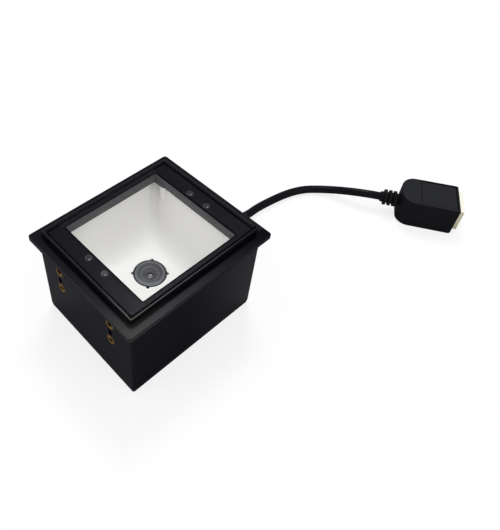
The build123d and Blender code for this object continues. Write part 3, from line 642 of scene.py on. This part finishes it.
def grown_piece(name, mesh, tree, values, stands_for):
    """Runs a tree on a mesh, keeps the result as a plain piece and puts it in a CAD node's place."""
    maker = bpy.data.objects.new("maker", mesh)
    scene.collection.objects.link(maker)
    pattern = maker.modifiers.new("pattern", "NODES")
    pattern.node_group = tree
    for socket in tree.interface.items_tree:
        if socket.in_out == "INPUT" and socket.name in values:
            pattern[socket.identifier] = values[socket.name]
    evaluated = maker.evaluated_get(bpy.context.evaluated_depsgraph_get())
    made = bpy.data.meshes.new_from_object(evaluated)
    made.name = name
    maker.modifiers.remove(pattern)
    bpy.data.objects.remove(maker)
    piece = bpy.data.objects.new(name, made)
    scene.collection.objects.link(piece)
    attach(piece, "root")
    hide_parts(stands_for)
    return piece


inserts, inserts_in, inserts_out = geometry_tree(
    "threaded_inserts",
    (
        ("Column Spacing", "NodeSocketFloat"), ("Row Pitch", "NodeSocketFloat"),
        ("Thread Radius", "NodeSocketFloat"), ("Thread Pitch", "NodeSocketFloat"),
        ("Thread Depth", "NodeSocketFloat"), ("Thread Size", "NodeSocketFloat"),
        ("Place", "NodeSocketVector"), ("Turn", "NodeSocketVector"), ("Metal", "NodeSocketMaterial"),
    ),
)
insert_grid = inserts.nodes.new("GeometryNodeMeshGrid")
insert_grid.inputs["Vertices X"].default_value = 2
insert_grid.inputs["Vertices Y"].default_value = 2
inserts.links.new(inserts_in.outputs["Column Spacing"], insert_grid.inputs["Size X"])
inserts.links.new(inserts_in.outputs["Row Pitch"], insert_grid.inputs["Size Y"])
thread_turns = calculate(
    inserts, "DIVIDE", inserts_in.outputs["Thread Depth"], inserts_in.outputs["Thread Pitch"]
)
thread = inserts.nodes.new("GeometryNodeCurveSpiral")
thread.inputs["Resolution"].default_value = 20
inserts.links.new(thread_turns, thread.inputs["Rotations"])
inserts.links.new(inserts_in.outputs["Thread Radius"], thread.inputs["Start Radius"])
inserts.links.new(inserts_in.outputs["Thread Radius"], thread.inputs["End Radius"])
inserts.links.new(inserts_in.outputs["Thread Depth"], thread.inputs["Height"])
thread_section = inserts.nodes.new("GeometryNodeCurvePrimitiveCircle")
thread_section.inputs["Resolution"].default_value = 3
inserts.links.new(inserts_in.outputs["Thread Size"], thread_section.inputs["Radius"])
thread_ridge = inserts.nodes.new("GeometryNodeCurveToMesh")
thread_ridge.inputs["Fill Caps"].default_value = True
inserts.links.new(thread.outputs["Curve"], thread_ridge.inputs["Curve"])
inserts.links.new(thread_section.outputs["Curve"], thread_ridge.inputs["Profile Curve"])
thread_flip = inserts.nodes.new("GeometryNodeTransform")
thread_flip.inputs["Rotation"].default_value = (math.pi, 0, 0)
inserts.links.new(thread_ridge.outputs["Mesh"], thread_flip.inputs["Geometry"])
nut = inserts.nodes.new("GeometryNodeJoinGeometry")
inserts.links.new(inserts_in.outputs["Geometry"], nut.inputs[0])
inserts.links.new(thread_flip.outputs["Geometry"], nut.inputs[0])
set_out = inserts.nodes.new("GeometryNodeInstanceOnPoints")
inserts.links.new(insert_grid.outputs["Mesh"], set_out.inputs["Points"])
inserts.links.new(nut.outputs["Geometry"], set_out.inputs["Instance"])
on_face = inserts.nodes.new("GeometryNodeTransform")
inserts.links.new(set_out.outputs["Instances"], on_face.inputs["Geometry"])
inserts.links.new(inserts_in.outputs["Place"], on_face.inputs["Translation"])
inserts.links.new(inserts_in.outputs["Turn"], on_face.inputs["Rotation"])
insert_solid = inserts.nodes.new("GeometryNodeRealizeInstances")
inserts.links.new(on_face.outputs["Geometry"], insert_solid.inputs["Geometry"])
insert_metal = inserts.nodes.new("GeometryNodeSetMaterial")
inserts.links.new(insert_solid.outputs["Geometry"], insert_metal.inputs["Geometry"])
inserts.links.new(inserts_in.outputs["Metal"], insert_metal.inputs["Material"])
inserts.links.new(insert_metal.outputs["Geometry"], inserts_out.inputs["Geometry"])

for side, end in (("left", -1), ("right", 1)):
    low, high = piece_box("inserts_" + side)
    insert_l = high.x - low.x
    face = low.x if end < 0 else high.x
    insert_profile = [
        (insert_bore, -insert_l, 0),
        (insert_r - insert_break, -insert_l, 0),
        (insert_r, -insert_l + insert_break, 1),
        (insert_r, -insert_l * 0.75, 2),
        (insert_r, -insert_l * 0.56, 1),
        (insert_r - 2 * knurl_depth, -insert_l * 0.55, 0),
        (insert_r - 2 * knurl_depth, -insert_l * 0.45, 0),
        (insert_r, -insert_l * 0.44, 1),
        (insert_r, -insert_l * 0.25, 2),
        (insert_r, -insert_l * 0.1, 1),
        (insert_r, -insert_l * 0.09, 0),
        (insert_r, -insert_seat, 0),
        (insert_r - insert_seat, 0.0, 0),
        (groove_r + groove_deep, 0.0, 0),
        (groove_r, -groove_deep, 0),
        (groove_r - groove_deep, 0.0, 0),
        (insert_bore + insert_lead / 2, 0.0, 0),
        (insert_bore, -insert_lead, 0),
    ]
    grown_piece(
        "inserts_" + side + "_threaded",
        turned_mesh("insert_body", insert_profile, 48, knurl_depth),
        inserts,
        {
            "Column Spacing": high.y - low.y - 2 * insert_r,
            "Row Pitch": insert_pitch,
            "Thread Radius": insert_bore,
            "Thread Pitch": thread_pitch,
            "Thread Depth": insert_l - insert_lead,
            "Thread Size": thread_size,
            "Place": (face, (low.y + high.y) / 2, (low.z + high.z) / 2),
            "Turn": (math.pi / 2, 0, end * math.pi / 2),
            "Metal": turned_brass,
        },
        "inserts_" + side,
    )

# The bores: painted shade behind the first turn of the thread.
bore_dark_r = 0.00145
bore_dark_x = 0.030
insert_low, insert_high = piece_box("inserts_left")
insert_y = insert_high.y - insert_r
insert_z = (insert_low.z + insert_high.z) / 2
brass_axes = object_axes(brass_tree)
along_face = calculate(
    brass_tree, "SUBTRACT", calculate(brass_tree, "ABSOLUTE", brass_axes["Y"]), insert_y
)
off_middle = calculate(brass_tree, "SUBTRACT", brass_axes["Z"], insert_z)
up_face = calculate(
    brass_tree, "SUBTRACT", calculate(brass_tree, "ABSOLUTE", off_middle), insert_pitch / 2
)
off_axis = diagonal(brass_tree, along_face, up_face)
from_middle_x = calculate(brass_tree, "ABSOLUTE", brass_axes["X"])
bore_shade = overlap(
    brass_tree,
    calculate(brass_tree, "LESS_THAN", off_axis, bore_dark_r),
    calculate(brass_tree, "GREATER_THAN", from_middle_x, bore_dark_x),
)
paint_over(turned_brass, bore_shade, (0.012, 0.006, 0.002))

# The seal and the screws: a black rubber ring in the cover's groove, four countersunk steel screws
# that pass through cover and board into the case's pillars, and small ones inside.
seal_rubber = finish("seal_rubber", (0.010, 0.010, 0.010), (0.016, 0.016, 0.016), 0.7)
dress(seal_rubber, "cover_seal")
screw_steel = finish(
    "screw_steel", (0.36, 0.36, 0.37), (0.50, 0.50, 0.50), 0.34,
    grain_size=0.0002, grain_depth=0.00001, patch=0.002,
    edge_highlight_colour=(0.65, 0.65, 0.65), edge_radius=0.0001, metallic=1.0,
)
dress(screw_steel, "case_screws", "reflector_screws", "light_screws")

# The window: a clear hard-coated acrylic plate, which shows only when seen at a slant, with a black
# border printed on its underside. Black foam tape sticks it on the seat inside the collar.
opening_corner = 0.0006
opening_line = 0.0007
print_x = 0.03365
print_y = 0.02815
print_line = 0.0006
far_strip_place = {"Centre Y": 0.0268, "Half X": 0.0270, "Half Y": 0.0013, "Corner": 0.0010}
slant_power = 6.0
window_clear = bpy.data.materials.new("window_clear")
window_clear.use_nodes = True
window_tree = window_clear.node_tree
window_shader = window_tree.nodes["Principled BSDF"]
window_shader.inputs["Base Color"].default_value = (0.02, 0.022, 0.024, 1)
window_shader.inputs["Roughness"].default_value = 0.05
slant = window_tree.nodes.new("ShaderNodeLayerWeight")
slant.inputs["Blend"].default_value = 0.5
steep = calculate(window_tree, "POWER", slant.outputs["Facing"], slant_power)
window_tree.links.new(steep, window_shader.inputs["Alpha"])
dress(window_clear, "window_plate")
border_black = finish(
    "border_black", (0.0031, 0.0032, 0.0056), (0.0046, 0.0048, 0.0076), 0.34,
    patch=0.03, specular=0.0, gloss_film=0.10,
)
border_tree = border_black.node_tree
opening = use_group(
    border_tree, outline, {"Half X": opening_x, "Half Y": opening_y, "Corner": opening_corner}
)
printed = use_group(border_tree, outline, {"Half X": print_x, "Half Y": print_y})
# Painted shade: dark lines along the border's edges at the opening and beside the lip.
border_edge_shade = calculate(
    border_tree, "MAXIMUM",
    calculate(border_tree, "LESS_THAN", opening.outputs["Distance"], opening_line),
    calculate(border_tree, "GREATER_THAN", printed.outputs["Distance"], -print_line),
)
paint_over(border_black, border_edge_shade, groove_shade_black, film=0.0)
# Painted light: the border's far strip on the +Y side is painted lighter.
far_strip = use_group(border_tree, outline, far_strip_place)
lit_far_strip = calculate(border_tree, "LESS_THAN", far_strip.outputs["Distance"], 0.0)
paint_over(border_black, lit_far_strip, (0.0092, 0.0094, 0.0115))
tape_black = finish("tape_black", (0.008, 0.008, 0.008), (0.013, 0.013, 0.013), 0.8)
dress(tape_black, "window_tape")

# The indicators: smoked acrylic light pipes under four clear spots of the border, each above a diode
# on one of two narrow boards. A flat lead joins each board to the main board.
pipe_centres = {"Centre X": 0.0283, "Centre Y": 0.0052}
clear_spot_r = 0.00168
pipe_rim_in_r = 0.0010
pipe_rim_out_r = 0.0013
pipe_glint_x = -0.00015
pipe_glint_y = -0.0008
pipe_glint_r = 0.0006
pipe_smoke = finish(
    "pipe_smoke", (0.008, 0.009, 0.010), (0.013, 0.014, 0.015), 0.25, patch=0.001, specular=0.2
)

# Ring: the way from the nearest of four centres that mirror each other, or from the middle.
ring, ring_in, ring_out = shader_group(
    "ring_places", ("Centre X", "Centre Y"),
    (
        ("Radius", "NodeSocketFloat"), ("Aside X", "NodeSocketFloat"),
        ("Aside Y", "NodeSocketFloat"), ("Level", "NodeSocketFloat"),
    ),
)
ring_axes = object_axes(ring)
ring.links.new(ring_axes["Z"], ring_out.inputs["Level"])
asides = []
for axis in ("X", "Y"):
    half = calculate(ring, "SIGN", ring_axes[axis])
    centre = calculate(ring, "MULTIPLY", half, ring_in.outputs["Centre " + axis])
    asides.append(calculate(ring, "SUBTRACT", ring_axes[axis], centre))
    ring.links.new(asides[-1], ring_out.inputs["Aside " + axis])
ring.links.new(diagonal(ring, *asides), ring_out.inputs["Radius"])


def spot(tree, places, x, y, size):
    """A mask that falls softly from 1 to 0 round a point beside a centre."""
    off_x = calculate(tree, "SUBTRACT", places.outputs["Aside X"], x)
    off_y = calculate(tree, "SUBTRACT", places.outputs["Aside Y"], y)
    away = calculate(tree, "DIVIDE", diagonal(tree, off_x, off_y), size)
    return calculate(tree, "MAXIMUM", calculate(tree, "SUBTRACT", 1.0, away), 0.0)


clear_spots = use_group(border_tree, ring, pipe_centres)
on_clear_spot = calculate(border_tree, "LESS_THAN", clear_spots.outputs["Radius"], clear_spot_r)
paint_over(border_black, on_clear_spot, (0.020, 0.021, 0.021))
dress(border_black, "window_border")
pipe_tree = pipe_smoke.node_tree
pipe_ring = use_group(pipe_tree, ring, pipe_centres)
# Painted highlight on each pipe's rim, and a painted glint beside its centre.
pipe_rim_highlight = between(pipe_tree, pipe_ring.outputs["Radius"], pipe_rim_in_r, pipe_rim_out_r)
paint_over(pipe_smoke, pipe_rim_highlight, (0.029, 0.030, 0.030))
pipe_glint = spot(pipe_tree, pipe_ring, pipe_glint_x, pipe_glint_y, pipe_glint_r)
paint_over(pipe_smoke, pipe_glint, (0.17, 0.18, 0.165))
dress(pipe_smoke, "light_pipes")
board_green = finish("board_green", (0.006, 0.06, 0.022), (0.012, 0.09, 0.035), 0.4, patch=0.004)
dress(board_green, "indicator_boards", "main_board")
led_resin = finish("led_resin", (0.8, 0.72, 0.32), (0.85, 0.8, 0.45), 0.3, patch=0.001)
dress(led_resin, "indicator_leds", "light_leds")
lead_film = finish("lead_film", (0.30, 0.10, 0.015), (0.38, 0.15, 0.03), 0.3, patch=0.004)
dress(lead_film, "indicator_leads")

# The reflector: a bowl moulded in matt white polycarbonate, thin enough to pass the light of the
# diodes behind it. Its rim is screwed up against the case's ceiling.
valley_reach = 0.006
valley_open = 0.86
valley_strength = 2.0
mouth_level = case_top - 0.0070
reflector_white = finish(
    "reflector_white", (0.865, 0.855, 0.825), (0.895, 0.885, 0.855), 0.55,
    grain_size=0.0008, grain_depth=0.00001, edge_highlight_colour=(0.88, 0.88, 0.86), specular=0.3,
)
bowl_tree = reflector_white.node_tree
# Painted shade in the bowl's corner valleys, darker where the bowl is less open.
valley_depth = calculate(
    bowl_tree, "SUBTRACT", valley_open, open_to_air(bowl_tree, valley_reach, 12)
)
valley = calculate(bowl_tree, "MULTIPLY", valley_depth, valley_strength)
valley_shade = calculate(bowl_tree, "MINIMUM", calculate(bowl_tree, "MAXIMUM", valley, 0.0), 1.0)
paint_over(reflector_white, valley_shade, (0.53, 0.525, 0.49))
# Painted highlight: a paler line round the bowl's mouth.
mouth_highlight = calculate(bowl_tree, "GREATER_THAN", object_axes(bowl_tree)["Z"], mouth_level)
paint_over(reflector_white, mouth_highlight, (0.95, 0.94, 0.91))
dress(reflector_white, "reflector")

# The camera: a black anodised barrel with a wide dished head, two coated glasses, spacer rings, and
# a moulded holder that is glued over the image sensor.
head_level = 0.0213
step_in_r = 0.0039
step_out_r = 0.00425
bevel_in_r = 0.0059
bevel_out_r = 0.00715
front_fade = 60.0
barrel_black = finish(
    "barrel_black", (0.010, 0.010, 0.012), (0.016, 0.016, 0.018), 0.4,
    grain_size=0.0003, grain_depth=0.000005,
    edge_highlight_colour=(0.02, 0.02, 0.021), edge_radius=0.0002, specular=0.3,
)
barrel_tree = barrel_black.node_tree
# The head is painted in grey rings; the lighter ring at the step and the lighter bevel are painted
# highlights.
head = use_group(barrel_tree, ring, {})
head_r = head.outputs["Radius"]
on_head = calculate(barrel_tree, "GREATER_THAN", head.outputs["Level"], head_level)
for low, high, colour in (
    (0.0, bevel_in_r, (0.076, 0.077, 0.082)),
    (step_in_r, step_out_r, (0.125, 0.127, 0.132)),
    (bevel_in_r, bevel_out_r, (0.105, 0.112, 0.122)),
):
    band = overlap(barrel_tree, between(barrel_tree, head_r, low, high), on_head)
    paint_over(barrel_black, band, colour)
# Painted light: the bevel is lighter on its front side.
head_back = calculate(barrel_tree, "ADD", head.outputs["Aside X"], head.outputs["Aside Y"])
toward_front = calculate(barrel_tree, "MULTIPLY", head_back, -front_fade)
lit_bevel = overlap(
    barrel_tree,
    between(barrel_tree, head_r, bevel_in_r, bevel_out_r),
    on_head,
    calculate(barrel_tree, "MAXIMUM", toward_front, 0.0),
)
paint_over(barrel_black, lit_bevel, (0.24, 0.26, 0.285))
dress(barrel_black, "lens_barrel", "lens_rings")

# The glasses: a violet pupil in the middle and painted glints round it.
pupil_r = 0.0004
glint_r = 0.0014
glint_size = 0.001
glint_level = 0.46
glint_contrast = 8.0
glint_least = 0.25
glint_most = 0.8
lens_glass = finish("lens_glass", (0.02, 0.02, 0.03), (0.03, 0.03, 0.045), 0.12, patch=0.002)
glass_tree = lens_glass.node_tree
glass_r = use_group(glass_tree, ring, {}).outputs["Radius"]
glints = use_group(glass_tree, grain, {"Grain Size": glint_size, "Patch Size": glint_size})
glint_tone = calculate(glass_tree, "SUBTRACT", glints.outputs["Tone"], glint_level)
glint = overlap(
    glass_tree,
    between(glass_tree, glass_r, pupil_r, glint_r),
    calculate(glass_tree, "MULTIPLY", glint_tone, glint_contrast),
)
soft_glint = calculate(
    glass_tree, "MINIMUM", calculate(glass_tree, "MAXIMUM", glint, glint_least), glint_most
)
paint_over(lens_glass, soft_glint, (0.46, 0.45, 0.47))
in_pupil = calculate(glass_tree, "LESS_THAN", glass_r, pupil_r)
paint_over(lens_glass, in_pupil, (0.14, 0.10, 0.18))
dress(lens_glass, "front_lens", "rear_lens")
holder_black = finish("holder_black", (0.009, 0.009, 0.009), (0.014, 0.014, 0.014), 0.6)
dress(holder_black, "lens_holder")
sensor_dark = finish("sensor_dark", (0.016, 0.02, 0.035), (0.025, 0.03, 0.045), 0.15)
dress(sensor_dark, "image_sensor")

# The light board and what joins it to the main board: white solder mask, brass spacers and a block
# of pins. The packages of the chips, the buzzer and the block are black moulded resin.
board_white = finish("board_white", (0.70, 0.71, 0.70), (0.76, 0.77, 0.76), 0.4)
dress(board_white, "light_board")
dress(turned_brass, "board_spacers")
chip_black = finish("chip_black", (0.010, 0.010, 0.011), (0.016, 0.016, 0.017), 0.5)
dress(chip_black, "board_link", "decoder_chip", "memory_chip", "buzzer")

# The inner end of the cable: an ivory nylon header soldered to the board, the plug pushed into it,
# and the tail of the sheath that ends in the plug.
header_ivory = finish("header_ivory", (0.66, 0.61, 0.48), (0.72, 0.68, 0.56), 0.45)
dress(header_ivory, "board_header", "inner_plug")
dress(sheath_black, "cable_tail")

# The grommet and the strain relief: soft black rubber, moulded on the cable. The grommet is clipped
# into the wall of the case, and the strain relief enters the socket.
rubber_black = finish(
    "rubber_black", (0.0045, 0.0045, 0.005), (0.008, 0.008, 0.009), 0.5,
    grain_size=0.0006, grain_depth=0.00001,
    edge_highlight_colour=(0.012, 0.012, 0.013), specular=0.0, gloss_film=0.09,
)
dress(rubber_black, "grommet", "strain_relief")

# The socket on the cable's end: a black ABS housing with a sunk panel on top, a nickel-plated shell
# round a black insert, and eight gold-flashed spring contacts.
panel_place = {"Centre X": 0.15354, "Centre Y": -0.05859, "Turn": math.radians(-57.45)}
panel_size = {"Half X": 0.00905, "Half Y": 0.00875}
panel_level = 0.0170
panel_line_in = 0.0003
panel_line_out = 0.0001
housing_black = finish(
    "housing_black", (0.005, 0.0053, 0.0065), (0.008, 0.0084, 0.010), 0.5,
    grain_size=0.0004, grain_depth=0.00002,
    edge_highlight_colour=(0.012, 0.012, 0.013), specular=0.0, gloss_film=0.05,
)
housing_tree = housing_black.node_tree
panel = use_group(housing_tree, outline, panel_place | panel_size)
# Painted light: the top face is painted lighter than the sides.
lit_top_face = calculate(housing_tree, "GREATER_THAN", panel.outputs["Level"], panel_level)
paint_over(housing_black, lit_top_face, (0.019, 0.0195, 0.022))
# Painted shade along the edge of the sunk panel.
panel_edge_shade = between(housing_tree, panel.outputs["Distance"], -panel_line_in, panel_line_out)
paint_over(
    housing_black, overlap(housing_tree, panel_edge_shade, lit_top_face), (0.004, 0.004, 0.005), film=0.01
)
dress(housing_black, "connector_housing")

# The shell: bright on its top face, and painted shade on its sides, which are yellower and darker.
shell_nickel = finish(
    "shell_nickel", (0.90, 0.88, 0.74), (0.97, 0.96, 0.84), 0.24,
    grain_size=0.0003, grain_depth=0.000005, patch=0.004,
    edge_highlight_colour=(0.9, 0.88, 0.82), edge_radius=0.0001, metallic=1.0,
)
shell_tree = shell_nickel.node_tree
shell_top = piece_box("connector_shell")[1].z
shell_level = object_axes(shell_tree)["Z"]
shaded_sides = calculate(shell_tree, "LESS_THAN", shell_level, shell_top - level_fit)
paint_over(shell_nickel, shaded_sides, (0.44, 0.40, 0.29))
dress(shell_nickel, "connector_shell")
insert_black = finish("insert_black", (0.007, 0.007, 0.008), (0.011, 0.011, 0.012), 0.45)
dress(insert_black, "connector_insert")
contact_gold = finish(
    "contact_gold", (0.8, 0.5, 0.15), (0.9, 0.62, 0.22), 0.25, patch=0.001, metallic=1.0
)
dress(contact_gold, "connector_contacts")
